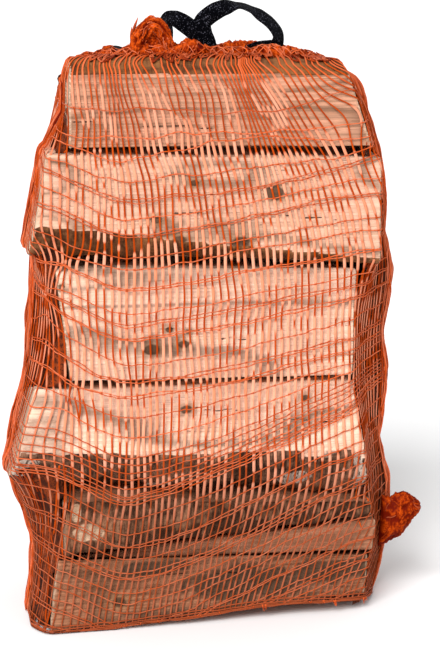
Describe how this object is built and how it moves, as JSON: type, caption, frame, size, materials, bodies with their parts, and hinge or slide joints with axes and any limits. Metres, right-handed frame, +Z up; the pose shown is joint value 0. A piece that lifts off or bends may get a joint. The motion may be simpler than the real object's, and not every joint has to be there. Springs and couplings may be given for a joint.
{
  "type": "firewood bundle",
  "caption": "Split birch firewood stacked crosswise in a tall net bag that stands on its base, its mouth gathered by a woven drawstring whose loops make the carrying handle.",
  "frame": {"origin": "centre of the bag's box, on the surface that it stands on", "axes": "+Z up, from the base to the handle; +X to the right along the logs, seen from the front; the front faces -Y"},
  "size_m": [0.391, 0.1882, 0.5524],
  "materials": {
    "split_wood": "rough split birch with bark on some faces and sawn ends",
    "net": "orange woven polyethylene tape net, slightly glossy",
    "ribbon": "black woven polypropylene ribbon"
  },
  "bodies": {
    "root": {"log_front_1": "split_wood", "log_front_2": "split_wood", "log_front_3": "split_wood", "log_front_4": "split_wood", "log_front_5": "split_wood", "log_front_6": "split_wood", "log_front_7": "split_wood", "log_back_1": "split_wood", "log_back_2": "split_wood", "log_back_3": "split_wood", "log_back_4": "split_wood", "log_back_5": "split_wood", "log_back_6": "split_wood", "net_bag": "net", "drawstring": "ribbon"}
  },
  "joints": []
}
